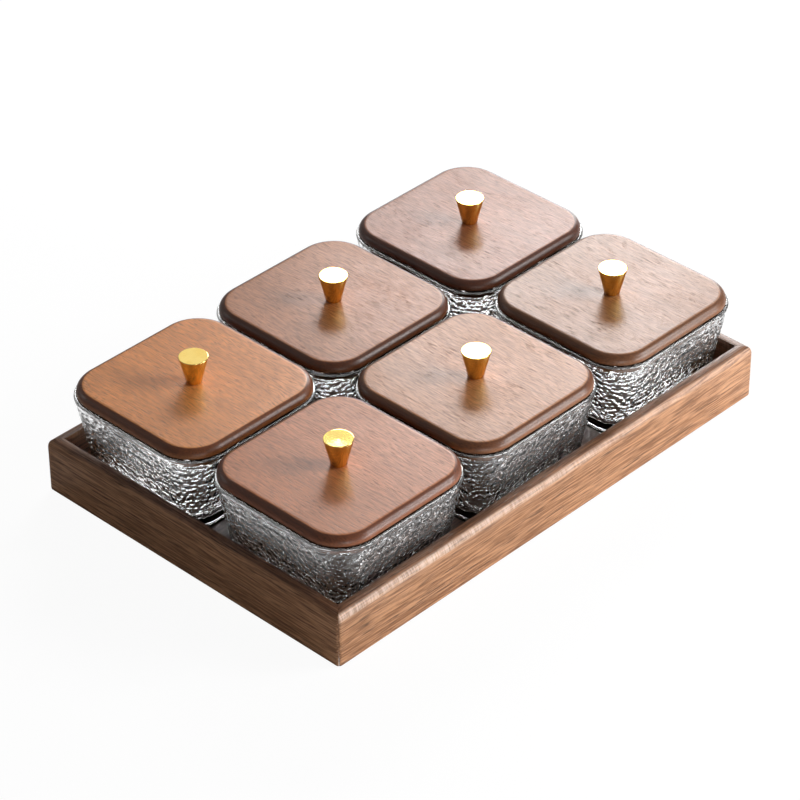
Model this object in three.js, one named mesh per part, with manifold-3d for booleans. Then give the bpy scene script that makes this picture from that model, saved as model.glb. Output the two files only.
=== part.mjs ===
// Chip and dip server: a mitred wooden tray that holds six square glass bowls, three along
// and two across. Each bowl has a wooden lid with a plug that drops into the glass, a soft
// ring round the plug, and a conical metal knob held by a screw from below.
// Millimetres, +Z up, origin under the middle of the tray, +X along the tray.
import * as THREE from "three";
import { mergeVertices } from "three/addons/utils/BufferGeometryUtils.js";
import Module from "manifold-3d";

const wasm = await Module();
wasm.setup();

// ---- clearances ----
const seatGap = 0.3; // between a piece and what it rests on or fits in
const mitreGap = 0.12; // taken off each mitred end

// ---- bowl: pressed glass, drafted walls, thick base ----
const bowlWidth = 107.8; // across the rim, both ways
const bowlHeight = 53.6;
const bowlCornerRadius = 24.2; // at the rim
const bowlDraft = 0.19; // how far the outside leans in for each mm down
const rimThickness = 3.6;
const wallThickening = 0.02; // extra thickness for each mm down
const rimSoftening = 1.2;
const baseThickness = 6;
const footSoftening = 1.6;
const footRingWidth = 7;
const footRecess = 0.8; // hollow under the foot, inside its ring
const insideFillet = 7;

// ---- lid: rounded edge, plug and groove below ----
const lidSetback = 1.7; // how far the lid stops short of the bowl's outline
const lidThickness = 5.5; // above the rim
const lidEdgeRadius = 4.7; // outer top edge, down to the lid's narrow upright side
const lidUnderSoftening = 0.5;
const plugDepth = 5;
const plugClearance = 1.6; // from the glass at the rim
const plugSoftening = 0.8;
const grooveDepth = 1.8;
const grooveHeight = 2.4;
const grooveDrop = 1.2; // from the underside of the lid to the groove

// ---- soft ring in the groove ----
const sealLipHeight = 0.9;

// ---- knob: a cone that widens upward on a low stand, slightly dished on top ----
const knobHeight = 16.4;
const knobTopRadius = 8.2;
const knobNeckRadius = 4.6; // at the foot of the cone
const knobStandInset = 0.5; // the low stand under the cone is this much narrower
const knobStandHeight = 0.6;
const knobLipWidth = 0.6;
const knobSoftening = 0.3;
const knobDishDepth = 0.3;
const threadRadius = 1.9;
const threadDepth = 8.5;

// ---- screw: countersunk, with a cross recess ----
const screwHeadRadius = 3.6;
const screwHeadEdge = 0.3; // upright part of the head's rim
const screwHeadHeight = 2.1;
const screwReach = 6; // into the knob
const screwTipRadius = 0.8;
const screwRecessLength = 3.6;
const screwRecessWidth = 0.9;
const screwRecessDepth = 1.2;
const headInset = 0.2; // the head sits this far up inside its countersink

// ---- tray ----
const columns = ["left", "middle", "right"];
const rows = ["front", "back"];
const bowlSpacingX = 2.2; // between rims of neighbours along the tray
const bowlSpacingY = 0.6; // between rims of neighbours across it
const trayPlay = 3.2; // between a bowl and the wall beside it, at the wall's top
const trayHeight = 34.2;
const trayWall = 7.5;
const trayEdgeRadius = 5.2; // outer top edge
const trayFootSoftening = 1.2;
const trayInnerSoftening = 0.4;
const trayCornerRadius = 2.6; // outer upright corners
const floorTop = 12;
const floorThickness = 5;
const floorGroove = 3.5; // depth of the groove that takes the floor

// How far each bowl stands off its place, as shares of the play, [along, across].
const standsOff = {
  front: { left: [0, -0.7], middle: [-0.52, 0], right: [0.23, -0.1] },
  back: { left: [-0.1, -0.28], middle: [-0.61, 0], right: [0, -0.1] },
};

// ---- facets ----
const cornerSteps = 5;
const edgeSteps = 4;
const softeningSteps = 2;
const turnSteps = 18;
const screwSteps = 12;
const smallestRadius = 0.3; // left at a corner whose radius is used up
const overshoot = 1; // how far a cutter runs past what it cuts
const mergeTolerance = 1e-4;

// ---- levels and places that follow ----
const pitchX = bowlWidth + bowlSpacingX;
const pitchY = bowlWidth + bowlSpacingY;
const bowlBase = floorTop + seatGap;
const lidBase = bowlBase + bowlHeight + seatGap;
const lidTop = lidBase + lidThickness;
const knobBase = lidTop + seatGap;
const bowlWidthAtWall = bowlWidth - 2 * bowlDraft * (bowlBase + bowlHeight - trayHeight);
const innerLength = (columns.length - 1) * pitchX + bowlWidthAtWall + 2 * trayPlay;
const innerWidth = (rows.length - 1) * pitchY + bowlWidthAtWall + 2 * trayPlay;
const trayLength = innerLength + 2 * trayWall;
const trayWidth = innerWidth + 2 * trayWall;

const wood = new THREE.MeshStandardMaterial({ color: 0x6e4327, roughness: 0.45, metalness: 0 });
const lidWood = new THREE.MeshStandardMaterial({ color: 0x7a4a2b, roughness: 0.4, metalness: 0 });
const glass = new THREE.MeshStandardMaterial({
  color: 0xdfe6e4, roughness: 0.05, metalness: 0, transparent: true, opacity: 0.35,
});
const brass = new THREE.MeshStandardMaterial({ color: 0xd9a441, roughness: 0.18, metalness: 1 });
const silicone = new THREE.MeshStandardMaterial({ color: 0xe8e6e0, roughness: 0.6, metalness: 0 });
const steel = new THREE.MeshStandardMaterial({ color: 0xb9bcc0, roughness: 0.3, metalness: 1 });

// ---- shape helpers ----

// A rounded rectangle at height z, drawn in by `inset` from its outline, anticlockwise from above.
function ring(outline, inset, z) {
  const radius = Math.max(outline.radius - inset, smallestRadius);
  const reachX = outline.halfX - inset - radius;
  const reachY = outline.halfY - inset - radius;
  const points = [];
  for (let corner = 0; corner < 4; corner++) {
    const signX = corner === 0 || corner === 3 ? 1 : -1;
    const signY = corner < 2 ? 1 : -1;
    for (let step = 0; step <= cornerSteps; step++) {
      const angle = ((corner + step / cornerSteps) * Math.PI) / 2;
      const x = signX * reachX + radius * Math.cos(angle);
      const y = signY * reachY + radius * Math.sin(angle);
      points.push(new THREE.Vector3(x, y, z));
    }
  }
  return points;
}

// Sweeps a profile of [inset, z] points round an outline. An open profile is capped at both
// ends; a closed one joins its last point to its first. It runs out along the underside,
// up the outside and back in, so the faces point outward.
function sweepRound(outline, profile, closed = false) {
  const rings = profile.map(([inset, z]) => ring(outline, inset, z));
  const around = rings[0].length;
  const vertices = rings.flat();
  const faces = [];
  const bands = closed ? rings.length : rings.length - 1;
  for (let band = 0; band < bands; band++) {
    const lower = band * around;
    const upper = ((band + 1) % rings.length) * around;
    for (let i = 0; i < around; i++) {
      const next = (i + 1) % around;
      faces.push(lower + i, lower + next, upper + next);
      faces.push(lower + i, upper + next, upper + i);
    }
  }
  if (!closed) {
    const last = (rings.length - 1) * around;
    const bottom = vertices.push(new THREE.Vector3(0, 0, profile[0][1])) - 1;
    const top = vertices.push(new THREE.Vector3(0, 0, profile.at(-1)[1])) - 1;
    for (let i = 0; i < around; i++) {
      const next = (i + 1) % around;
      faces.push(bottom, next, i);
      faces.push(top, last + i, last + next);
    }
  }
  const geometry = new THREE.BufferGeometry().setFromPoints(vertices);
  geometry.setIndex(faces);
  geometry.computeVertexNormals();
  return geometry;
}

// Points of an elliptical arc in a profile, from angle `from` to `to`, ends included.
function arc(centreInset, centreZ, acrossRadius, upRadius, from, to, steps = edgeSteps) {
  const points = [];
  for (let step = 0; step <= steps; step++) {
    const angle = from + ((to - from) * step) / steps;
    points.push([
      centreInset - acrossRadius * Math.cos(angle),
      centreZ + upRadius * Math.sin(angle),
    ]);
  }
  return points;
}

// A turned piece about +Z from [radius, z] points that start and end on the axis.
function turned(profile, steps = turnSteps) {
  const points = profile.map(([radius, z]) => new THREE.Vector2(radius, z));
  return new THREE.LatheGeometry(points, steps).rotateX(Math.PI / 2);
}

function solidOf(geometry) {
  const bare = geometry.clone();
  bare.deleteAttribute("normal");
  bare.deleteAttribute("uv");
  const merged = mergeVertices(bare, mergeTolerance);
  const mesh = new wasm.Mesh({
    numProp: 3,
    vertProperties: new Float32Array(merged.attributes.position.array),
    triVerts: new Uint32Array(merged.index.array),
  });
  return new wasm.Manifold(mesh);
}

function geometryOf(solid) {
  const mesh = solid.getMesh();
  const geometry = new THREE.BufferGeometry();
  geometry.setAttribute("position", new THREE.BufferAttribute(mesh.vertProperties, 3));
  geometry.setIndex(new THREE.BufferAttribute(mesh.triVerts, 1));
  geometry.computeVertexNormals();
  return geometry;
}

// ---- bowl, with its foot at z = 0 ----

const bowlOutline = { halfX: bowlWidth / 2, halfY: bowlWidth / 2, radius: bowlCornerRadius };
const outsideInset = (z) => bowlDraft * (bowlHeight - z);
const insideInset = (z) => rimThickness + (bowlDraft + wallThickening) * (bowlHeight - z);

function bowlGeometry() {
  const quarter = Math.PI / 2;
  const footInset = outsideInset(footSoftening);
  const ringInset = footInset + footSoftening + footRingWidth;
  const filletTop = baseThickness + insideFillet;
  const filletInset = insideInset(filletTop);
  const rimStart = bowlHeight - rimSoftening;
  return sweepRound(bowlOutline, [
    [ringInset + footRecess, footRecess],
    [ringInset, 0],
    ...arc(footInset + footSoftening, footSoftening, footSoftening, footSoftening,
      -quarter, 0, softeningSteps),
    ...arc(outsideInset(rimStart) + rimSoftening, rimStart, rimSoftening, rimSoftening,
      0, quarter, softeningSteps),
    ...arc(insideInset(rimStart) - rimSoftening, rimStart, rimSoftening, rimSoftening,
      quarter, Math.PI, softeningSteps),
    ...arc(filletInset + insideFillet, filletTop, insideFillet, insideFillet, 0, -quarter),
  ]);
}

// ---- lid, with its underside at z = 0 and its plug below that ----

const lidOutline = {
  halfX: bowlWidth / 2 - lidSetback,
  halfY: bowlWidth / 2 - lidSetback,
  radius: bowlCornerRadius - lidSetback,
};
const plugInset = rimThickness + plugClearance - lidSetback;
const grooveTop = -grooveDrop;
const grooveFloor = grooveTop - grooveHeight;

function lidGeometry() {
  const body = sweepRound(lidOutline, [
    [plugInset + plugSoftening, -plugDepth],
    [plugInset, plugSoftening - plugDepth],
    [plugInset, grooveFloor],
    [plugInset + grooveDepth, grooveFloor],
    [plugInset + grooveDepth, grooveTop],
    [plugInset, grooveTop],
    [plugInset, 0],
    ...arc(lidUnderSoftening, lidUnderSoftening, lidUnderSoftening, lidUnderSoftening,
      -Math.PI / 2, 0, softeningSteps),
    ...arc(lidEdgeRadius, lidThickness - lidEdgeRadius, lidEdgeRadius, lidEdgeRadius,
      0, Math.PI / 2),
  ]);
  return geometryOf(solidOf(body).subtract(solidOf(screwHole())));
}

// ---- soft ring, in the lid's frame: a band in the groove with one lip to the glass ----

function sealGeometry() {
  const low = grooveFloor + seatGap;
  const high = grooveTop - seatGap;
  const back = plugInset + grooveDepth - seatGap;
  const face = plugInset - seatGap;
  const lipTop = (low + high + sealLipHeight) / 2;
  const lipFoot = lipTop - sealLipHeight;
  // The glass leans in below the rim, so the lip is measured at its own lowest level.
  const glassAtLip = insideInset(bowlHeight + seatGap + lipFoot) - lidSetback;
  const lipTip = glassAtLip + seatGap;
  return sweepRound(lidOutline, [
    [back, low],
    [face, low],
    [face, lipFoot],
    [lipTip, lipTop],
    [face, lipTop],
    [face, high],
    [back, high],
  ], true);
}

// ---- knob, with its foot at z = 0 ----

function knobGeometry() {
  const standRadius = knobNeckRadius - knobStandInset;
  return turned([
    [0, threadDepth],
    [threadRadius, threadDepth],
    [threadRadius, 0],
    [standRadius, 0],
    [standRadius, knobStandHeight],
    [knobNeckRadius, knobStandHeight],
    [knobTopRadius, knobHeight - knobSoftening],
    [knobTopRadius - knobSoftening / 2, knobHeight],
    [knobTopRadius - knobLipWidth, knobHeight],
    [0, knobHeight - knobDishDepth],
  ]);
}

// ---- screw, in the lid's frame: the head is flush with the plug's lower face ----

const screwTip = lidThickness + seatGap + screwReach;
const shankRadius = threadRadius - seatGap;

function screwGeometry() {
  const head = -plugDepth + headInset;
  const body = turned([
    [0, head],
    [screwHeadRadius, head],
    [screwHeadRadius, head + screwHeadEdge],
    [shankRadius, head + screwHeadHeight],
    [shankRadius, screwTip - screwTipRadius],
    [screwTipRadius, screwTip],
    [0, screwTip],
  ], screwSteps);
  const slot = new THREE.BoxGeometry(screwRecessLength, screwRecessWidth, 2 * screwRecessDepth);
  slot.translate(0, 0, head);
  const cross = solidOf(slot).add(solidOf(slot.clone().rotateZ(Math.PI / 2)));
  return geometryOf(solidOf(body).subtract(cross));
}

// The hole for it: clear of the shank, with a countersink that follows the head.
function screwHole() {
  const mouth = -plugDepth;
  const holeRadius = shankRadius + seatGap;
  return turned([
    [0, mouth - overshoot],
    [screwHeadRadius + seatGap, mouth - overshoot],
    [screwHeadRadius + seatGap, mouth + headInset + screwHeadEdge + seatGap],
    [holeRadius, mouth + headInset + screwHeadHeight + seatGap],
    [holeRadius, lidThickness + overshoot],
    [0, lidThickness + overshoot],
  ], screwSteps);
}

// ---- tray ----

// What the assembled frame is sanded to: eased foot, rounded top edge and upright corners.
function traySanding() {
  const outline = { halfX: trayLength / 2, halfY: trayWidth / 2, radius: trayCornerRadius };
  return solidOf(sweepRound(outline, [
    ...arc(trayFootSoftening, trayFootSoftening, trayFootSoftening, trayFootSoftening,
      -Math.PI / 2, 0, softeningSteps),
    ...arc(trayEdgeRadius, trayHeight - trayEdgeRadius, trayEdgeRadius, trayEdgeRadius,
      0, Math.PI / 2),
  ]));
}

// A grooved board along +X with its outer face at y = -outerHalf and both ends mitred.
function mitredBoard(length, outerHalf) {
  const grooveLow = floorTop - floorThickness - seatGap;
  const grooveHigh = floorTop + seatGap;
  const section = new THREE.Shape();
  section.moveTo(0, 0);
  section.lineTo(trayWall, 0);
  section.lineTo(trayWall, grooveLow);
  section.lineTo(trayWall - floorGroove, grooveLow);
  section.lineTo(trayWall - floorGroove, grooveHigh);
  section.lineTo(trayWall, grooveHigh);
  section.lineTo(trayWall, trayHeight - trayInnerSoftening);
  section.lineTo(trayWall - trayInnerSoftening, trayHeight);
  section.lineTo(0, trayHeight);
  const depth = 1; // only tells one end of the board from the other
  const board = new THREE.ExtrudeGeometry(section, { depth, bevelEnabled: false });
  const place = board.attributes.position;
  for (let i = 0; i < place.count; i++) {
    const inward = place.getX(i);
    const end = place.getZ(i) > depth / 2 ? 1 : -1;
    place.setXYZ(i, end * (length / 2 - inward - mitreGap), inward - outerHalf, place.getY(i));
  }
  return board;
}

function floorGeometry() {
  const reach = 2 * (floorGroove - seatGap);
  const panel = new THREE.BoxGeometry(innerLength + reach, innerWidth + reach, floorThickness);
  return panel.translate(0, 0, floorTop - floorThickness / 2);
}

// ---- assembly ----

const server = new THREE.Group();

function place(parent, name, geometry, material, z = 0) {
  const mesh = new THREE.Mesh(geometry, material);
  mesh.name = name;
  mesh.position.z = z;
  parent.add(mesh);
}

place(server, "tray_floor", floorGeometry(), wood);
const sanding = traySanding();
const boards = {
  front: [trayLength, trayWidth / 2, 0],
  right: [trayWidth, trayLength / 2, Math.PI / 2],
  back: [trayLength, trayWidth / 2, Math.PI],
  left: [trayWidth, trayLength / 2, -Math.PI / 2],
};
for (const [side, [length, outerHalf, turn]] of Object.entries(boards)) {
  const board = solidOf(mitredBoard(length, outerHalf).rotateZ(turn));
  place(server, `tray_wall_${side}`, geometryOf(board.intersect(sanding)), wood);
}

const shapes = {
  bowl: bowlGeometry(),
  lid: lidGeometry(),
  seal: sealGeometry(),
  knob: knobGeometry(),
  screw: screwGeometry(),
};
rows.forEach((row, across) => {
  columns.forEach((column, along) => {
    const [offX, offY] = standsOff[row][column];
    const set = new THREE.Group();
    set.position.x = (along - (columns.length - 1) / 2) * pitchX + offX * trayPlay;
    set.position.y = (across - (rows.length - 1) / 2) * pitchY + offY * trayPlay;
    const spot = `${row}_${column}`;
    place(set, `bowl_${spot}`, shapes.bowl, glass, bowlBase);
    place(set, `lid_${spot}`, shapes.lid, lidWood, lidBase);
    place(set, `lid_seal_${spot}`, shapes.seal, silicone, lidBase);
    place(set, `knob_${spot}`, shapes.knob, brass, knobBase);
    place(set, `knob_screw_${spot}`, shapes.screw, steel, lidBase);
    server.add(set);
  });
});

export default server;
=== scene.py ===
import math

import bpy
import numpy as np
from mathutils import Matrix, Vector


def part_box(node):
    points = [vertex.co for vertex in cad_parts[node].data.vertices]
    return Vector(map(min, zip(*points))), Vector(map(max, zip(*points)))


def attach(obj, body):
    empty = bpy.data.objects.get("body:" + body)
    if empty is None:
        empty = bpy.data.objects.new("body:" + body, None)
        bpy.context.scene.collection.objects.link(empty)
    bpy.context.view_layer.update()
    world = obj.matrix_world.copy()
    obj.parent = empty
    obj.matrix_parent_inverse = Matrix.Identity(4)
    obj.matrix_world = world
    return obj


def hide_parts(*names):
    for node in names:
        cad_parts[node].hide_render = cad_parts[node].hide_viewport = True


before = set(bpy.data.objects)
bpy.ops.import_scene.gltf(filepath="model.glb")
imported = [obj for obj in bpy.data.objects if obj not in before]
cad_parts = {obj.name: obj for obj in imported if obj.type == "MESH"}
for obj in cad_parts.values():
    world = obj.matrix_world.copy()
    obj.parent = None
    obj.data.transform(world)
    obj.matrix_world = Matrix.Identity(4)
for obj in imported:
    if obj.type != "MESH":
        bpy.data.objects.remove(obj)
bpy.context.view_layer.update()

MM = 0.001
ROWS = ("front", "back")
COLUMNS = ("left", "middle", "right")
SPOTS = [f"{row}_{column}" for row in ROWS for column in COLUMNS]
QUARTER = math.pi / 2
SHARPEST_CORNER = 0.05  # the least corner radius that a swept outline keeps


# ---- meshes ----

def smoothstep(low, high, value):
    share = np.clip((value - low) / (high - low), 0, 1)
    return share * share * (3 - 2 * share)


def arc(centre_inset, centre_z, across, up, start, end, steps):
    """Points [inset, z] on an elliptical arc of a profile, both ends included."""
    angles = np.linspace(start, end, steps + 1)
    return [
        (centre_inset - across * math.cos(a), centre_z + up * math.sin(a)) for a in angles
    ]


def rounded_ring(half_x, half_y, radius, corner_steps, side_steps):
    """A rounded rectangle, anticlockwise from above: its points and their outward directions."""
    points, outward = [], []
    for corner in range(4):
        sign_x = 1 if corner in (0, 3) else -1
        sign_y = 1 if corner < 2 else -1
        centre = np.array([sign_x * (half_x - radius), sign_y * (half_y - radius)])
        for angle in (corner + np.linspace(0, 1, corner_steps + 1)) * QUARTER:
            direction = np.array([math.cos(angle), math.sin(angle)])
            points.append(centre + radius * direction)
            outward.append(direction)
        following = (corner + 1) % 4
        next_x = 1 if following in (0, 3) else -1
        next_y = 1 if following < 2 else -1
        next_centre = np.array([next_x * (half_x - radius), next_y * (half_y - radius)])
        start, end = points[-1], next_centre + radius * outward[-1]
        for step in range(1, side_steps):
            points.append(start + (end - start) * step / side_steps)
            outward.append(outward[-1])
    return np.array(points), np.array(outward)


def bands(levels, around, closed):
    """Quads between neighbouring levels of a sweep."""
    step = np.arange(around)
    after = (step + 1) % around
    faces = []
    for level in range(levels if closed else levels - 1):
        low, high = level * around, ((level + 1) % levels) * around
        faces += np.stack([low + step, low + after, high + after, high + step], 1).tolist()
    return faces


def sweep(outline, profile, corner_steps, side_steps=1, closed=False, relief=None):
    """Sweeps a profile of [inset, z] round a rounded rectangle (half_x, half_y, radius).
    It runs along the underside, up the outside and back in, so the faces point outward."""
    half_x, half_y, radius = outline
    vertices = []
    for index, (inset, z) in enumerate(profile):
        corner = max(radius - inset, SHARPEST_CORNER)
        ring, outward = rounded_ring(
            half_x - inset, half_y - inset, corner, corner_steps, side_steps
        )
        if relief is not None:
            ring = ring - outward * relief(index, z)[:, None]
        vertices.append(np.column_stack([ring, np.full(len(ring), z)]))
    around = len(vertices[0])
    faces = bands(len(profile), around, closed)
    points = np.concatenate(vertices)
    if not closed:
        last = (len(profile) - 1) * around
        bottom, top = len(points), len(points) + 1
        points = np.vstack([points, [0, 0, profile[0][1]], [0, 0, profile[-1][1]]])
        for i in range(around):
            after = (i + 1) % around
            faces.append((bottom, after, i))
            faces.append((top, last + i, last + after))
    return points, faces


def turned(profile, steps):
    """A turned piece about +Z from [radius, z] points that start and end on the axis."""
    angles = np.arange(steps) * 2 * math.pi / steps
    rim = profile[1:-1]
    points = [
        (radius * math.cos(a), radius * math.sin(a), z) for radius, z in rim for a in angles
    ]
    faces = bands(len(rim), steps, False)
    bottom, top, last = len(points), len(points) + 1, (len(rim) - 1) * steps
    points += [(0, 0, profile[0][1]), (0, 0, profile[-1][1])]
    for i in range(steps):
        after = (i + 1) % steps
        faces.append((bottom, after, i))
        faces.append((top, last + i, last + after))
    return np.array(points), faces


def as_mesh(name, shape, crease=40):
    """A mesh in metres from millimetre points, smooth apart from edges sharper than `crease`."""
    points, faces = shape
    mesh = bpy.data.meshes.new(name)
    mesh.from_pydata((points * MM).tolist(), [], faces)
    mesh.validate()
    mesh.shade_smooth()
    mesh.set_sharp_from_angle(angle=math.radians(crease))
    return mesh


def put(name, mesh, material, place=(0, 0, 0), turn=0.0):
    """Puts a piece made of a mesh in the model's frame."""
    piece = bpy.data.objects.new(name, mesh)
    bpy.context.scene.collection.objects.link(piece)
    piece.location = place
    piece.rotation_euler.z = turn
    if not mesh.materials:
        mesh.materials.append(None)
    piece.material_slots[0].link = "OBJECT"
    piece.material_slots[0].material = material
    return piece


# ---- node helpers ----

def feed(tree, socket, value):
    """Links an input to another node's socket; anything else becomes its value."""
    if isinstance(value, bpy.types.NodeSocket):
        tree.links.new(value, socket)
    else:
        socket.default_value = value


def node(tree, kind, inputs=None, **settings):
    made = tree.nodes.new(kind)
    for key, value in settings.items():
        setattr(made, key, value)
    for key, value in (inputs or {}).items():
        feed(tree, made.inputs[key], value)
    return made


def maths(tree, operation, *values):
    return node(
        tree, "ShaderNodeMath", dict(enumerate(values)), operation=operation
    ).outputs[0]


def vector_maths(tree, operation, *values):
    return node(tree, "ShaderNodeVectorMath", dict(enumerate(values)), operation=operation)


def noise(tree, vector, detail=2.0, roughness=0.5):
    return node(
        tree, "ShaderNodeTexNoise",
        {"Vector": vector, "Scale": 1.0, "Detail": detail, "Roughness": roughness},
    ).outputs["Fac"]


def stretch(tree, vector, along, across, deep):
    return vector_maths(tree, "MULTIPLY", vector, (along, across, deep)).outputs[0]


def spread(tree, value, low, high, to_low=0.0, to_high=1.0):
    """Maps low..high to to_low..to_high, eased and clamped."""
    return node(
        tree, "ShaderNodeMapRange",
        {"Value": value, "From Min": low, "From Max": high, "To Min": to_low, "To Max": to_high},
        interpolation_type="SMOOTHSTEP",
    ).outputs["Result"]


def tint(tree, share, first, second, mode="MIX"):
    """Blends two colours: all `first` at 0 and all `second` at 1."""
    made = node(tree, "ShaderNodeMix", data_type="RGBA", blend_type=mode)
    for index, value in ((0, share), (6, first), (7, second)):
        feed(tree, made.inputs[index], value)
    return made.outputs[2]


def fine_relief(tree, height, depth):
    """The normal of a surface whose fine marks are `depth` millimetres deep."""
    return node(
        tree, "ShaderNodeBump", {"Strength": 1.0, "Distance": depth * MM, "Height": height}
    ).outputs[0]


SOCKETS = {"float": "NodeSocketFloat", "vector": "NodeSocketVector", "color": "NodeSocketColor"}


def effect(name, inputs, outputs):
    """A shader node group with named sockets: its tree and its two end nodes."""
    tree = bpy.data.node_groups.new(name, "ShaderNodeTree")
    for direction, sockets in (("INPUT", inputs), ("OUTPUT", outputs)):
        for label, kind in sockets.items():
            tree.interface.new_socket(name=label, in_out=direction, socket_type=SOCKETS[kind])
    entry = tree.nodes.new("NodeGroupInput").outputs
    leave = tree.nodes.new("NodeGroupOutput").inputs
    return tree, entry, leave


def use(tree, group, inputs):
    made = tree.nodes.new("ShaderNodeGroup")
    made.node_tree = group
    for key, value in inputs.items():
        feed(tree, made.inputs[key], value)
    return made.outputs


def finish_named(name):
    """An empty material with its tree and surface input."""
    material = bpy.data.materials.new(name)
    material.use_nodes = True
    tree = material.node_tree
    tree.nodes.clear()
    surface = tree.nodes.new("ShaderNodeOutputMaterial").inputs["Surface"]
    return material, tree, surface


# ---- shared effects ----

def make_timber_grain():
    """Open-pored hardwood. Grain space is in millimetres: X along, Y across, Z into the face."""
    tree, given, out = effect(
        "timber grain",
        {
            "Grain": "vector", "Pale": "color", "Dark": "color", "Pore": "color",
            "Ring Width": "float", "Wander": "float", "Figure": "float", "Fibre": "float",
            "Fibre Length": "float", "Fibre Width": "float", "Mottle": "float", "Pores": "float",
        },
        {"Color": "color", "Pore Mask": "float", "Fibre Mask": "float", "Height": "float"},
    )
    grain = given["Grain"]
    drift = maths(tree, "SUBTRACT", noise(tree, stretch(tree, grain, 0.008, 0.02, 0.02), 3), 0.5)
    shift = maths(tree, "MULTIPLY", drift, given["Wander"])
    offset = node(tree, "ShaderNodeCombineXYZ", {"Y": shift, "Z": shift}).outputs[0]
    wandered = vector_maths(tree, "ADD", grain, offset).outputs[0]
    heart = stretch(tree, wandered, 0.03, 1.0, 1.0)
    radius = vector_maths(tree, "LENGTH", heart).outputs["Value"]
    rings = maths(tree, "DIVIDE", radius, given["Ring Width"])
    ring_noise = node(
        tree, "ShaderNodeTexNoise", {"W": rings, "Scale": 1.0, "Detail": 3.0, "Roughness": 0.6},
        noise_dimensions="1D",
    ).outputs["Fac"]
    growth = spread(tree, ring_noise, 0.34, 0.66)
    width = given["Fibre Width"]
    fibre_size = node(
        tree, "ShaderNodeCombineXYZ", {"X": given["Fibre Length"], "Y": width, "Z": width}
    ).outputs[0]
    fibre_space = vector_maths(tree, "DIVIDE", wandered, fibre_size).outputs[0]
    fibre = noise(tree, fibre_space, 3, 0.6)
    mottle = noise(tree, stretch(tree, wandered, 0.012, 0.06, 0.06), 3, 0.55)
    pore_noise = noise(tree, stretch(tree, fibre_space, 1.3, 1.2, 1.2), 2, 0.6)
    crowding = maths(tree, "MULTIPLY_ADD", growth, 0.05, 0.54)  # pores open above this level
    pores = node(
        tree, "ShaderNodeMapRange",
        {"Value": pore_noise, "From Min": crowding, "From Max": maths(tree, "ADD", crowding, 0.1)},
    ).outputs["Result"]
    share = 0.5
    for value, weight in ((growth, "Figure"), (fibre, "Fibre"), (mottle, "Mottle")):
        swing = maths(tree, "SUBTRACT", value, 0.5)
        share = maths(tree, "ADD", share, maths(tree, "MULTIPLY", swing, given[weight]))
    share = node(tree, "ShaderNodeClamp", {"Value": share}).outputs[0]
    body = tint(tree, share, given["Pale"], given["Dark"])
    pore_share = maths(tree, "MULTIPLY", pores, given["Pores"])
    tree.links.new(tint(tree, pore_share, body, given["Pore"]), out["Color"])
    tree.links.new(pore_share, out["Pore Mask"])
    tree.links.new(fibre, out["Fibre Mask"])
    sunk = maths(tree, "MULTIPLY_ADD", fibre, 0.5, maths(tree, "MULTIPLY", pore_share, -0.7))
    tree.links.new(sunk, out["Height"])
    return tree


def make_handling():
    """Faint smears and specks from handling, as a mask from 0 to 1."""
    tree, given, out = effect(
        "handling marks", {"Place": "vector", "Size": "float"}, {"Mask": "float"}
    )
    scaled = vector_maths(tree, "SCALE", given["Place"])
    tree.links.new(maths(tree, "DIVIDE", 1.0, given["Size"]), scaled.inputs["Scale"])
    broad = noise(tree, scaled.outputs[0], 4, 0.6)
    tree.links.new(spread(tree, broad, 0.4, 0.7), out["Mask"])
    return tree


timber_grain = make_timber_grain()
handling = make_handling()


# ---- finishes ----

def place_in_mm(tree, shift=(0, 0, 0), turn=(0, 0, 0)):
    """The piece's own coordinates in millimetres, turned and shifted into grain space."""
    own = node(tree, "ShaderNodeTexCoord").outputs["Object"]
    return node(
        tree, "ShaderNodeMapping",
        {"Vector": own, "Scale": (1000, 1000, 1000), "Rotation": turn, "Location": shift},
    ).outputs[0]


# Darkening multiplies the wood's own colour: on the edge it is partly a real stain and partly
# painted shade, on the top it is painted shade. The painted highlight tone replaces the colour.
EDGE_STAIN_AND_SHADE, PAINTED_TOP_SHADE = (0.19, 0.14, 0.13, 1), (0.52, 0.46, 0.43, 1)
PAINTED_HIGHLIGHT_TONE = (0.84, 0.64, 0.52, 1)
HIGHLIGHT_FADES = (-110.0, 130.0)  # where along the board the painted highlight starts and ends fading
TIMBER_RELIEF, GLASS_RELIEF, TURNING_RELIEF = 0.06, 0.05, 0.005


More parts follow.
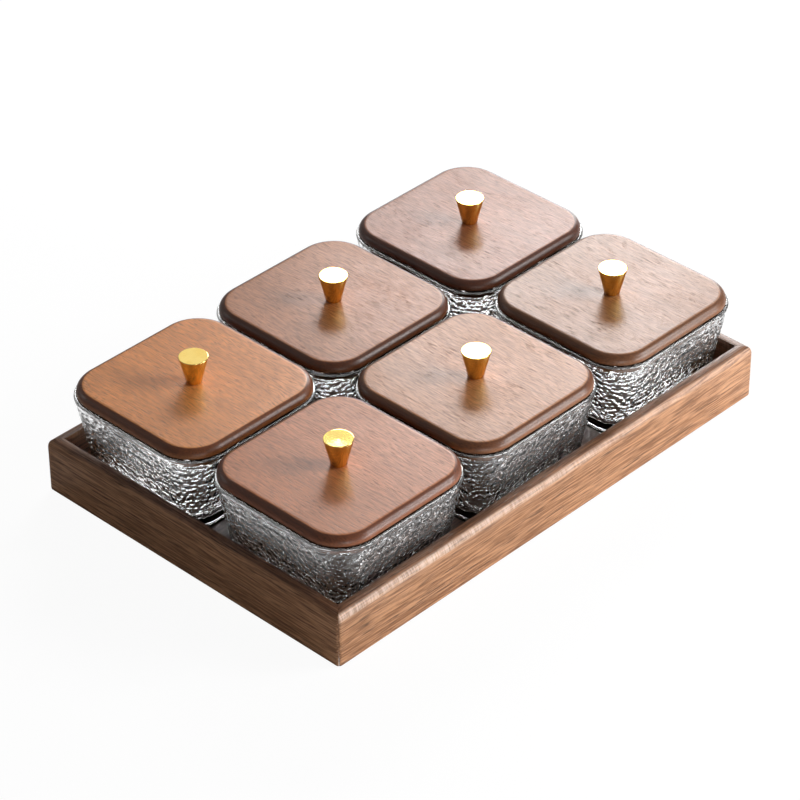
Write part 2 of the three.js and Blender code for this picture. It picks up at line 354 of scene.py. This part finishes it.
def make_timber(name, pale, dark, pore, shift, turn=0.0, ring_width=9.0, wander=14.0,
                figure=0.2, fibre=2.6, fibre_length=9.0, fibre_width=0.7, mottle=0.35,
                pores=0.6, roughness=0.32, chatter=0.0, edge_stain_and_shade=0.0, painted_top_shade=0.0,
                painted_highlight=0.0):
    """A board's finish. Its grain runs along X unless turned; widths are in millimetres."""
    material, tree, surface = finish_named(name)
    grain = place_in_mm(tree, shift, (0, 0, turn))
    wood = use(tree, timber_grain, {
        "Grain": grain, "Pale": (*pale, 1), "Dark": (*dark, 1), "Pore": (*pore, 1),
        "Ring Width": ring_width, "Wander": wander, "Figure": figure, "Fibre": fibre,
        "Fibre Length": fibre_length, "Fibre Width": fibre_width, "Mottle": mottle,
        "Pores": pores,
    })
    worn = use(tree, handling, {"Place": grain, "Size": 38.0})["Mask"]
    rough = maths(tree, "MULTIPLY_ADD", wood["Pore Mask"], 0.25, roughness - 0.1)
    rough = maths(tree, "MULTIPLY_ADD", wood["Fibre Mask"], 0.2, rough)
    rough = maths(tree, "MULTIPLY_ADD", worn, 0.04, rough)
    height = wood["Height"]
    color = wood["Color"]
    turned_away, above_side, shoulder, edge = eased_edge(tree)
    # The edge is darkened partly by a real stain and partly as painted shade; the top is darkened
    # as painted shade.
    for mask, darkness, tone in (
        (edge, edge_stain_and_shade, EDGE_STAIN_AND_SHADE), (shoulder, painted_top_shade, PAINTED_TOP_SHADE),
    ):
        if darkness:
            color = tint(tree, maths(tree, "MULTIPLY", mask, darkness), color, tone, "MULTIPLY")
    if chatter:
        rounded = maths(tree, "MULTIPLY", turned_away, above_side)
        ripple = maths(tree, "MULTIPLY", rounded, sanding_chatter(tree, grain))
        height = maths(tree, "MULTIPLY_ADD", ripple, chatter, height)
        # The rounded top edge gets a painted highlight: a paler tone along the ripple, fading
        # along the board.
        below = maths(tree, "SUBTRACT", rounded, shoulder)
        highlight_band = node(tree, "ShaderNodeClamp", {"Value": below}).outputs[0]
        highlight_marks = spread(tree, ripple, 0.36, 0.62, painted_highlight, painted_highlight * 0.35)
        along = node(tree, "ShaderNodeSeparateXYZ", {0: place_in_mm(tree)}).outputs["X"]
        highlight_fading = spread(tree, along, *HIGHLIGHT_FADES, 1.0, 0.2)
        share = maths(tree, "MULTIPLY", maths(tree, "MULTIPLY", highlight_band, highlight_marks), highlight_fading)
        color = tint(tree, share, color, PAINTED_HIGHLIGHT_TONE)
    shader = node(tree, "ShaderNodeBsdfPrincipled", {
        "Base Color": color, "Roughness": rough, "IOR": 1.5,
        "Normal": fine_relief(tree, height, TIMBER_RELIEF),
    })
    tree.links.new(shader.outputs[0], surface)
    return material


def eased_edge(tree):
    """Masks by how far the face turns: off level, above the upright side, up on the top, and
    round a dark edge that pales towards its foot."""
    facing = node(tree, "ShaderNodeTexCoord").outputs["Normal"]
    level = node(tree, "ShaderNodeSeparateXYZ", {0: facing}).outputs["Z"]
    paler_foot = spread(tree, level, 0.1, 0.55, 0.72, 1.0)
    edge = maths(tree, "MULTIPLY", spread(tree, level, 0.945, 0.99, 1.0, 0.0), paler_foot)
    return (
        spread(tree, level, 0.93, 0.985, 1.0, 0.0), spread(tree, level, 0.0, 0.15),
        spread(tree, level, 0.68, 0.88), edge,
    )


def sanding_chatter(tree, grain):
    """Fine ripple left across the grain by sanding an eased edge."""
    return noise(tree, stretch(tree, grain, 1.3, 0.12, 0.12), 2, 0.6)


def make_glass():
    """Clear glass with a faint swirl, which lets the lamps and the bounced light pass."""
    material, tree, surface = finish_named("pressed glass")
    place = place_in_mm(tree)
    swirl = noise(tree, stretch(tree, place, 0.12, 0.12, 0.3), 2)
    glass = node(tree, "ShaderNodeBsdfPrincipled", {
        "Base Color": (0.97, 0.975, 0.98, 1), "Roughness": 0.0, "IOR": 1.5,
        "Transmission Weight": 1.0, "Normal": fine_relief(tree, swirl, GLASS_RELIEF),
    })
    clear = node(tree, "ShaderNodeBsdfTransparent", {"Color": (0.71, 0.72, 0.73, 1)})
    path = node(tree, "ShaderNodeLightPath")
    passing = maths(tree, "MAXIMUM", path.outputs["Is Shadow Ray"], path.outputs["Is Diffuse Ray"])
    mix = node(tree, "ShaderNodeMixShader", {0: passing, 1: glass.outputs[0], 2: clear.outputs[0]})
    tree.links.new(mix.outputs[0], surface)
    return material


def make_brass():
    material, tree, surface = finish_named("polished brass")
    place = place_in_mm(tree)
    across = vector_maths(tree, "MULTIPLY", place, (1, 1, 0)).outputs[0]
    radius = vector_maths(tree, "LENGTH", across).outputs["Value"]
    height = node(tree, "ShaderNodeSeparateXYZ", {0: place}).outputs["Z"]
    turning = node(
        tree, "ShaderNodeTexNoise",
        {"W": maths(tree, "ADD", radius, height), "Scale": 4.0, "Detail": 2.0},
        noise_dimensions="1D",
    ).outputs["Fac"]
    smear = use(tree, handling, {"Place": place, "Size": 6.0})["Mask"]
    rough = maths(tree, "MULTIPLY_ADD", smear, 0.05, 0.08)
    color = tint(tree, smear, (0.92, 0.68, 0.21, 1), (0.88, 0.61, 0.16, 1))
    shader = node(tree, "ShaderNodeBsdfPrincipled", {
        "Base Color": color, "Roughness": rough, "Metallic": 1.0,
        "Normal": fine_relief(tree, turning, TURNING_RELIEF),
    })
    tree.links.new(shader.outputs[0], surface)
    return material


def make_steel():
    material, tree, surface = finish_named("plated steel")
    place = place_in_mm(tree)
    smear = use(tree, handling, {"Place": place, "Size": 3.0})["Mask"]
    shader = node(tree, "ShaderNodeBsdfPrincipled", {
        "Base Color": tint(tree, smear, (0.62, 0.62, 0.63, 1), (0.5, 0.5, 0.52, 1)),
        "Roughness": maths(tree, "MULTIPLY_ADD", smear, 0.15, 0.25), "Metallic": 1.0,
    })
    tree.links.new(shader.outputs[0], surface)
    return material


def make_soft_ring():
    material, tree, surface = finish_named("clear silicone")
    place = place_in_mm(tree)
    dust = use(tree, handling, {"Place": place, "Size": 5.0})["Mask"]
    shader = node(tree, "ShaderNodeBsdfPrincipled", {
        "Base Color": tint(tree, dust, (0.82, 0.82, 0.79, 1), (0.70, 0.70, 0.66, 1)),
        "Roughness": maths(tree, "MULTIPLY_ADD", dust, 0.2, 0.35),
        "Subsurface Weight": 0.3, "Subsurface Scale": 0.002,
    })
    tree.links.new(shader.outputs[0], surface)
    return material


# ---- bowls ----

def foot_of(node_name):
    """The middle (x, y) and the lowest z of a node, in metres."""
    low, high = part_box(node_name)
    middle = (low + high) / 2
    return middle.x, middle.y, low.z


# Half width and corner radius are taken at the rim; both walls lean in by their draft.
BOWL = {
    "height": 53.6, "corner": 24.2, "draft": 0.19, "rim": 3.6, "thickening": 0.02,
    "rim_softening": 1.2, "base": 6.0, "foot_softening": 1.6, "foot_ring": 7.0,
    "foot_recess": 0.8, "fillet": 7.0, "half": 53.9,
}
MARK_WIDTH, MARK_HEIGHT, MARK_DEPTH = 3.4, 3.0, 0.75
MARK_SHARPNESS = 9.0  # how crisp the ridges between neighbouring hollows are
MARK_REACH = 0.36  # how far a hollow spreads, in squared mark widths
MARK_NUDGE, MARK_SIZES = 0.32, (0.8, 1.2)
MARK_ROWS = 24  # rows before the pattern repeats
FOOT_FADE, RIM_FADE = (8.0, 15.0), (4.6, 2.6)  # heights above the foot and below the rim


def hammer_marks(around, perimeter):
    """Returns a function of height that gives the depth cut into the glass round one level.
    The marks are shallow round hollows in staggered rows, each a little out of line."""
    rows, columns = MARK_ROWS, round(perimeter / MARK_WIDTH)
    random = np.random.default_rng(7)
    nudge = random.uniform(-MARK_NUDGE, MARK_NUDGE, (rows, columns, 2))
    sharpness = MARK_SHARPNESS * random.uniform(*MARK_SIZES, (rows, columns))
    across = np.arange(around) / around * columns

    def depth(z):
        level = z / MARK_HEIGHT
        total = np.zeros(around)
        for row in range(math.floor(level) - 2, math.floor(level) + 4):
            for step in (-2, -1, 0, 1, 2):
                column = np.floor(across).astype(int) + step
                cell = column % columns
                at = nudge[row % rows, cell]
                dx = across - (column + 0.5 + 0.5 * (row % 2) + at[:, 0])
                dz = level - (row + 0.5 + at[:, 1])
                total += np.exp(-sharpness[row % rows, cell] * (dx * dx + dz * dz))
        distance = -np.log(total + 1e-6) / MARK_SHARPNESS
        return np.clip(1.0 - distance / MARK_REACH, 0.0, 1.2) * MARK_DEPTH

    return depth


def bowl_shape():
    """A tapered bowl on a low foot ring, hollow from the rim down to its base."""
    b = BOWL
    height, softening = b["height"], b["rim_softening"]

    def outside(z):
        return b["draft"] * (height - z)

    def inside(z):
        return b["rim"] + (b["draft"] + b["thickening"]) * (height - z)

    corner_steps, side_steps, levels = 64, 96, 92
    foot = outside(b["foot_softening"])
    ring = foot + b["foot_softening"] + b["foot_ring"]
    fillet_top = b["base"] + b["fillet"]
    rim_start = height - softening
    profile = [(ring + b["foot_recess"] + 3, b["foot_recess"]), (ring + b["foot_recess"], 0.7),
               (ring + 0.3, 0.1), (ring, 0)]
    profile += arc(foot + b["foot_softening"], b["foot_softening"], b["foot_softening"],
                   b["foot_softening"], -QUARTER, 0, 6)
    first = len(profile)
    for z in np.linspace(b["foot_softening"], rim_start, levels + 2)[1:-1]:
        profile.append((outside(z), z))
    last = len(profile)
    profile += arc(outside(rim_start) + softening, rim_start, softening, softening, 0, QUARTER, 6)
    profile += arc(inside(rim_start) - softening, rim_start, softening, softening,
                   QUARTER, math.pi, 6)
    for z in np.linspace(rim_start, fillet_top, 5)[1:-1]:
        profile.append((inside(z), z))
    profile += arc(inside(fillet_top) + b["fillet"], fillet_top, b["fillet"], b["fillet"],
                   0, -QUARTER, 8)
    around = 4 * (corner_steps + side_steps)
    straight = 2 * (b["half"] - b["corner"])
    perimeter = 4 * (straight + (b["corner"] - outside(height / 2)) * QUARTER)
    marks = hammer_marks(around, perimeter)
    plain = np.zeros(around)

    def relief(index, z):
        if not first <= index < last:
            return plain
        above_foot = smoothstep(*FOOT_FADE, z)
        below_rim = 1 - smoothstep(height - RIM_FADE[0], height - RIM_FADE[1], z)
        return marks(z) * (above_foot * below_rim)

    return sweep((b["half"], b["half"], b["corner"]), profile, corner_steps, side_steps,
                 relief=relief)


def make_bowls(glass):
    """One mould for all six; neighbours are turned so that their marks differ."""
    mesh = as_mesh("bowl", bowl_shape(), crease=60)
    for index, spot in enumerate(SPOTS):
        turn = index * 3 % 4 * QUARTER
        piece = put(f"glass_bowl_{spot}", mesh, glass, foot_of(f"bowl_{spot}"), turn)
        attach(piece, f"bowl_{spot}")
        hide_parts(f"bowl_{spot}")


# ---- lids, soft rings, knobs and screws ----

# The setback is from the bowl's rim to the lid's edge; the groove in the plug holds the ring.
LID = {
    "setback": 1.7, "thickness": 5.5, "edge": 4.7, "under": 0.5, "plug": 5.0,
    "plug_clearance": 1.6, "plug_softening": 0.8, "groove_depth": 1.8, "groove_height": 2.4,
    "groove_drop": 1.2, "arris": 0.2,
}
KNOB = {
    "height": 16.4, "top": 8.2, "neck": 4.6, "stand": 4.1, "stand_height": 0.6, "lip": 0.6,
    "softening": 0.3, "dish": 0.12, "thread": 1.9, "thread_depth": 8.5,
}
SCREW = {
    "inset": 0.2, "head": 3.6, "head_edge": 0.3, "neck_drop": 2.1, "neck_end": 3.0,
    "thread_start": 3.4, "thread_cut": 0.3, "pitch": 0.7, "turns": 16, "reach": 6.0,
}
SEAT = 0.3  # between a piece and what it rests on or fits in


def lid_outline():
    reach = BOWL["half"] - LID["setback"]
    return reach, reach, BOWL["corner"] - LID["setback"]


def plug_inset():
    return BOWL["rim"] + LID["plug_clearance"] - LID["setback"]


def lid_shape():
    """The lid's board with its plug below; z is 0 at the underside of the board."""
    lid, arris = LID, LID["arris"]
    groove_top = -lid["groove_drop"]
    groove_floor = groove_top - lid["groove_height"]
    plug, top = plug_inset(), lid["thickness"]
    deep = plug + lid["groove_depth"]
    profile = [
        (plug + lid["plug_softening"] + 4, -lid["plug"]),
        *arc(plug + lid["plug_softening"], lid["plug_softening"] - lid["plug"],
             lid["plug_softening"], lid["plug_softening"], -QUARTER, 0, 4),
        (plug, groove_floor - arris), (plug + arris, groove_floor), (deep, groove_floor),
        (deep, groove_top), (plug + arris, groove_top), (plug, groove_top + arris),
        (plug, -0.02), (plug - 0.02, 0),
        *arc(lid["under"], lid["under"], lid["under"], lid["under"], -QUARTER, 0, 6),
        *arc(lid["edge"], top - lid["edge"], lid["edge"], lid["edge"], 0, QUARTER, 18),
        (lid["edge"] + 0.4, top), (lid["edge"] + 3, top),
    ]
    return sweep(lid_outline(), profile, corner_steps=28)


def soft_ring_shape():
    """The band in the plug's groove, with one lip that reaches out to the glass."""
    lid, lip_height, edge, lip_edge, tip_drop = LID, 0.9, 0.2, 0.15, 0.08
    low = -lid["groove_drop"] - lid["groove_height"] + SEAT
    high = -lid["groove_drop"] - SEAT
    back = plug_inset() + lid["groove_depth"] - SEAT
    face = plug_inset() - SEAT
    lip_top = (low + high + lip_height) / 2
    lip_foot = lip_top - lip_height
    drop = -(SEAT + lip_foot)
    tip = BOWL["rim"] + (BOWL["draft"] + BOWL["thickening"]) * drop - lid["setback"] + SEAT
    profile = [
        (back, low + edge), (back - edge, low), (face + edge, low), (face, low + edge),
        (face, lip_foot), (tip + lip_edge, lip_top - edge), (tip, lip_top - tip_drop),
        (tip + lip_edge, lip_top), (face, lip_top), (face, high - edge), (face + edge, high),
        (back - edge, high), (back, high - edge),
    ]
    return sweep(lid_outline(), profile, corner_steps=24, closed=True)


def knob_shape():
    """A cone that stands on its small end, with a blind screw hole below and a shallow dish."""
    k, edge, chamfer, lead_in = KNOB, 0.1, 0.3, 0.25
    soft, top, stand_top = k["softening"], k["height"], k["stand_height"]
    well = k["top"] - k["lip"]
    lip = [
        (k["top"] - soft + soft * math.cos(a), top - soft + soft * math.sin(a))
        for a in np.linspace(0, QUARTER, 6)
    ]
    dish = [(well * (1 - s), top - k["dish"] * s) for s in (0, 0.02, 0.5, 0.95, 1)]
    profile = [
        (0, k["thread_depth"]), (k["thread"] - chamfer, k["thread_depth"]),
        (k["thread"], k["thread_depth"] - chamfer), (k["thread"], lead_in),
        (k["thread"] + lead_in, 0), (k["stand"] - edge, 0), (k["stand"], edge),
        (k["stand"], stand_top - 0.02), (k["stand"] + 0.02, stand_top),
        (k["neck"] - edge, stand_top), (k["neck"], stand_top + edge),
        *lip, *dish,
    ]
    return turned(profile, 96)


def screw_shape():
    """A countersunk screw, head down, from the plug up into the knob."""
    s = SCREW
    head, edge = s["inset"] - LID["plug"], s["head_edge"]
    tip = LID["thickness"] + SEAT + s["reach"]
    shank = KNOB["thread"] - SEAT
    profile = [
        (0, head), (s["head"] - edge, head), (s["head"] - edge / 6, head + edge / 3),
        (s["head"], head + edge), (shank, head + s["neck_drop"]), (shank, head + s["neck_end"]),
    ]
    for turn in range(s["turns"]):
        z = head + s["thread_start"] + turn * s["pitch"]
        profile += [(shank - s["thread_cut"], z), (shank, z + s["pitch"] * 0.4)]
    profile += [(shank / 2, tip), (0, tip)]
    return turned(profile, 32)


def make_lids(lid_woods, brass, steel, silicone):
    lid_mesh = as_mesh("lid", lid_shape(), crease=35)
    ring_mesh = as_mesh("soft_ring", soft_ring_shape(), crease=50)
    knob_mesh = as_mesh("knob", knob_shape(), crease=50)
    screw_mesh = as_mesh("screw", screw_shape(), crease=35)
    for spot, wood in zip(SPOTS, lid_woods):
        x, y, bottom = foot_of(f"lid_{spot}")
        seat = (x, y, bottom + LID["plug"] * MM)
        knob_seat = (x, y, foot_of(f"knob_{spot}")[2])
        for name, mesh, material, place, stands_for, slot in (
            (f"lid_board_{spot}", lid_mesh, wood, seat, f"lid_{spot}", "lid_wood"),
            (f"soft_ring_{spot}", ring_mesh, silicone, seat, f"lid_seal_{spot}", "soft_ring"),
            (f"cone_knob_{spot}", knob_mesh, brass, knob_seat, f"knob_{spot}", "brass"),
            (f"screw_{spot}", screw_mesh, steel, seat, f"knob_screw_{spot}", "steel"),
        ):
            piece = put(name, mesh, material, place)
            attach(piece, f"lid_{spot}")
            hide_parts(stands_for)


# ---- tray ----

# The groove holds the floor panel; the mitre is the hairline left at the end of each wall.
TRAY = {
    "wall": 7.5, "edge": 5.2, "foot": 1.2, "inner_ease": 0.4, "corner": 2.6,
    "groove": 3.5, "mitre": 0.12,
}


def wall_profile(height, floor_low, floor_high):
    """The tray wall's section as [inset, z], anticlockwise from its foot."""
    t = TRAY
    ease = t["inner_ease"]
    return [
        *arc(t["foot"], t["foot"], t["foot"], t["foot"], -QUARTER, 0, 6),
        *arc(t["edge"], height - t["edge"], t["edge"], t["edge"], 0, QUARTER, 12),
        (t["wall"] - ease, height), (t["wall"] - ease * 0.3, height - ease * 0.3),
        (t["wall"], height - ease), (t["wall"], floor_high), (t["wall"] - t["groove"], floor_high),
        (t["wall"] - t["groove"], floor_low), (t["wall"], floor_low), (t["wall"], 0),
    ]


def mitred_wall(half_long, half_wide, profile, corner_steps=6):
    """A board along +X on the -Y side, rounded with the tray's corners, both ends mitred."""
    t = TRAY
    levels = []
    for inset, z in profile:
        radius = max(t["corner"] - inset, SHARPEST_CORNER)
        centre_x, centre_y = half_long - inset - radius, half_wide - inset - radius
        angles = np.linspace(QUARTER / 2, QUARTER, corner_steps + 1)
        right = [
            (centre_x + radius * math.cos(a), -centre_y - radius * math.sin(a), z) for a in angles
        ]
        right[0] = (right[0][0] - t["mitre"], *right[0][1:])
        left = [(-x, y, z) for x, y, z in right]
        levels.append(left + right[::-1])
    across, count = len(levels[0]), len(levels)
    points = np.array(levels).reshape(-1, 3)
    faces = []
    for level in range(count):
        low, high = level * across, ((level + 1) % count) * across
        for i in range(across - 1):
            faces.append((low + i, low + i + 1, high + i + 1, high + i))
    faces.append([level * across for level in range(count)])
    faces.append([level * across + across - 1 for level in reversed(range(count))])
    return points, faces


def floor_shape(low, high):
    """The floor panel, with its arrises eased."""
    half_x, half_y = (high.x - low.x) / 2 / MM, (high.y - low.y) / 2 / MM
    bottom, top, ease = low.z / MM, high.z / MM, 0.3
    profile = [
        (4, bottom), (ease, bottom), (0, bottom + ease), (0, top - ease), (ease, top), (4, top),
    ]
    return sweep((half_x, half_y, 0.5), profile, corner_steps=4)


def make_tray(wall_woods, floor_wood_painted_shade):
    low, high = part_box("tray_floor")
    floor = put("tray_bottom_panel", as_mesh("bottom_panel", floor_shape(low, high)), floor_wood_painted_shade)
    floor_low, floor_high = low.z / MM - SEAT, high.z / MM + SEAT
    far_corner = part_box("tray_wall_right")[1]
    half_long, height = far_corner.x / MM, far_corner.z / MM
    half_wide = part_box("tray_wall_back")[1].y / MM
    profile = wall_profile(height, floor_low, floor_high)
    placed = {"tray_floor": floor}
    for turns, side in enumerate(("front", "right", "back", "left")):
        halves = (half_long, half_wide) if turns % 2 == 0 else (half_wide, half_long)
        mesh = as_mesh(f"wall_{side}", mitred_wall(*halves, profile))
        piece = put(f"mitred_wall_{side}", mesh, wall_woods[side], turn=turns * QUARTER)
        placed[f"tray_wall_{side}"] = piece
    for stands_for, piece in placed.items():
        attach(piece, "tray")
        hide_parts(stands_for)


# ---- timber for each board ----

def lid_timbers():
    """Six boards of one kind of wood; each has its own tone and its own place in the tree.
    A tone is the red level, green and blue as shares of it, and how dark the edge is made, partly
    by a real stain and partly as painted shade."""
    tones = {
        "front_left": (0.61, 0.36, 0.146, 0.92),
        "front_middle": (0.52, 0.405, 0.152, 0.88),
        "front_right": (0.36, 0.41, 0.155, 0.72),
        "back_left": (0.84, 0.38, 0.115, 0.98),
        "back_middle": (0.45, 0.355, 0.115, 0.95),
        "back_right": (0.36, 0.345, 0.148, 0.92),
    }
    woods = []
    for index, spot in enumerate(SPOTS):
        red, green, blue, edge_darkening = tones[spot]
        middle = np.array((red, red * green, red * blue))
        woods.append(make_timber(
            f"lid timber {spot.replace('_', ' ')}", middle * 1.25, middle * 0.68, middle * 0.3,
            shift=(40.0 + 190 * index, 35.0 + 23 * index, 60.0 + 17 * index), turn=QUARTER,
            edge_stain_and_shade=edge_darkening,
        ))
    return woods


def tray_timbers():
    """The four walls from one board, each with painted shade on its top and, apart from the left
    one, a painted highlight on its rounded top edge; the left one has a duller finish. The floor's
    dark tone is painted shade.
    """
    pale, dark, pore = (0.56, 0.29, 0.15), (0.24, 0.105, 0.045), (0.09, 0.042, 0.022)
    woods = {}
    for index, (side, highlight_share, roughness) in enumerate((
        ("front", 0.6, 0.36), ("right", 0.4, 0.36), ("back", 0.5, 0.36), ("left", 0.0, 0.55),
    )):
        woods[side] = make_timber(
            f"tray timber {side}", pale, dark, pore,
            shift=(1300.0 + 420 * index, 25.0 + 40 * index, 70.0 + 31 * index),
            ring_width=7.0, wander=5.0, figure=0.35, fibre=5.5, fibre_length=24.0,
            fibre_width=0.75, mottle=0.4, pores=0.9, roughness=roughness, chatter=4.0,
            painted_top_shade=1.0, painted_highlight=highlight_share,
        )
    # The floor panel's dark tone is painted shade for the inside of the tray under the bowls.
    floor = make_timber(
        "tray floor with painted shade", (0.16, 0.075, 0.045), (0.07, 0.03, 0.02), (0.03, 0.015, 0.01),
        shift=(3900.0, 60.0, 45.0),
    )
    return woods, floor


# ---- studio ----

LIT_POINT = Vector((0, 0, 0.05))  # what the lamps face
FLOOR_REACH, FLOOR_DROP = 6000, 0.3


def aim_from(azimuth, elevation):
    """Unit vector towards a place round the object; azimuth 0 is -Y and 90 is +X."""
    a, e = math.radians(azimuth), math.radians(elevation)
    return Vector((math.sin(a) * math.cos(e), -math.cos(a) * math.cos(e), math.sin(e)))


def make_camera():
    azimuth, elevation, roll = -46.05, 35.47, math.radians(-0.34)
    distance, slide, rise = 1.9428, -0.00359, 0.02298
    back = aim_from(azimuth, elevation)
    level = Vector((math.cos(math.radians(azimuth)), math.sin(math.radians(azimuth)), 0))
    above = back.cross(level)
    right = level * math.cos(roll) + above * math.sin(roll)
    up = above * math.cos(roll) - level * math.sin(roll)
    data = bpy.data.cameras.new("camera")
    data.sensor_width, data.lens = 36.0, 154.76
    data.clip_start, data.clip_end = 0.05, 50.0
    camera = bpy.data.objects.new("camera", data)
    bpy.context.scene.collection.objects.link(camera)
    turn = Matrix((right, up, back)).transposed().to_4x4()
    camera.matrix_world = Matrix.Translation(back * distance + right * slide + up * rise) @ turn
    bpy.context.scene.camera = camera


def make_soft_light(name, azimuth, elevation, distance, size, radiance):
    """A rectangular diffuser that faces the object, with the same brightness all over."""
    data = bpy.data.lights.new(name, "AREA")
    data.shape, data.size, data.size_y = "RECTANGLE", *size
    data.energy = radiance * math.pi * size[0] * size[1]
    light = bpy.data.objects.new(name, data)
    bpy.context.scene.collection.objects.link(light)
    out = aim_from(azimuth, elevation)
    light.rotation_mode = "QUATERNION"
    light.rotation_quaternion = out.to_track_quat("Z", "Y")
    light.location = LIT_POINT + out * distance


def looked_at(tree):
    """Where the set is looked at straight, and where it is seen in or through the glass."""
    path = node(tree, "ShaderNodeLightPath").outputs
    in_glass = maths(tree, "MAXIMUM", path["Is Transmission Ray"], path["Is Singular Ray"])
    return path["Is Camera Ray"], in_glass, path["Is Glossy Ray"]


def make_world():
    """White where it is looked at, bright in glass, dim in polished pieces and nearly black
    where it lights. Through the glass it is brightest behind the object."""
    world = bpy.data.worlds.new("studio")
    bpy.context.scene.world = world
    world.use_nodes = True
    tree = world.node_tree
    tree.nodes.clear()
    straight, in_glass, in_polish = looked_at(tree)
    toward = node(tree, "ShaderNodeTexCoord").outputs["Generated"]
    facing = vector_maths(tree, "DOT_PRODUCT", toward, aim_from(142, 32)).outputs["Value"]
    glow = spread(tree, facing, 0.8, 0.97, 2.2, 10.0)
    strength = maths(tree, "MULTIPLY_ADD", in_glass, glow, straight)
    strength = maths(tree, "MAXIMUM", strength, maths(tree, "MULTIPLY", in_polish, 0.3))
    strength = maths(tree, "ADD", strength, 0.01)
    white = node(tree, "ShaderNodeBackground", {"Color": (1, 1, 1, 1), "Strength": strength})
    leave = tree.nodes.new("ShaderNodeOutputWorld")
    tree.links.new(white.outputs[0], leave.inputs["Surface"])


def make_floor():
    material, tree, surface = finish_named("pale floor")
    place = place_in_mm(tree)
    cloud = noise(tree, stretch(tree, place, 0.002, 0.002, 0.002), 2)
    color = tint(tree, cloud, (0.86, 0.86, 0.86, 1), (0.89, 0.89, 0.89, 1))
    matt = node(tree, "ShaderNodeBsdfDiffuse", {"Color": color})
    lit = node(tree, "ShaderNodeEmission", {"Color": (1, 1, 1, 1), "Strength": 1.05})
    share = maths(tree, "MULTIPLY", maths(tree, "MAXIMUM", *looked_at(tree)[:2]), 0.9)
    mix = node(tree, "ShaderNodeMixShader", {0: share, 1: matt.outputs[0], 2: lit.outputs[0]})
    tree.links.new(mix.outputs[0], surface)
    corners = ((-1, -1), (1, -1), (1, 1), (-1, 1))
    points = np.array([(x * FLOOR_REACH, y * FLOOR_REACH, -FLOOR_DROP) for x, y in corners])
    floor = put("floor", as_mesh("floor", (points, [(0, 1, 2, 3)])), material)


def make_studio():
    bpy.context.scene.view_settings.view_transform = "Standard"
    make_camera()
    make_world()
    make_floor()
    panel = (0.38, 0.30)
    for name, azimuth, elevation, distance, size, radiance in (
        ("front right high", 44, 34, 1.1, panel, 12.5),
        ("front right upper", 35, 22, 1.1, panel, 6.5),
        ("front right lower", 35, 6, 1.1, panel, 11.1),
        ("front", 15, 6, 1.1, panel, 9.2),
        ("front left", -30, 6, 1.1, panel, 5.9),
        ("rear key", 127, 33.5, 1.1, (0.38, 0.20), 15.2),
        ("rear right upper", 115, 20, 1.1, panel, 9.4),
        ("rear right lower", 115, 4, 1.1, panel, 4.5),
        ("rear lower", 135, 6, 1.1, panel, 3.0),
        ("rear dim", 140, 40, 1.3, (0.9, 0.5), 0.68),
        ("rear left", 210, 22, 1.1, panel, 1.5),
    ):
        make_soft_light(f"{name} diffuser", azimuth, elevation, distance, size, radiance)


make_bowls(make_glass())
make_lids(lid_timbers(), make_brass(), make_steel(), make_soft_ring())
make_tray(*tray_timbers())
make_studio()
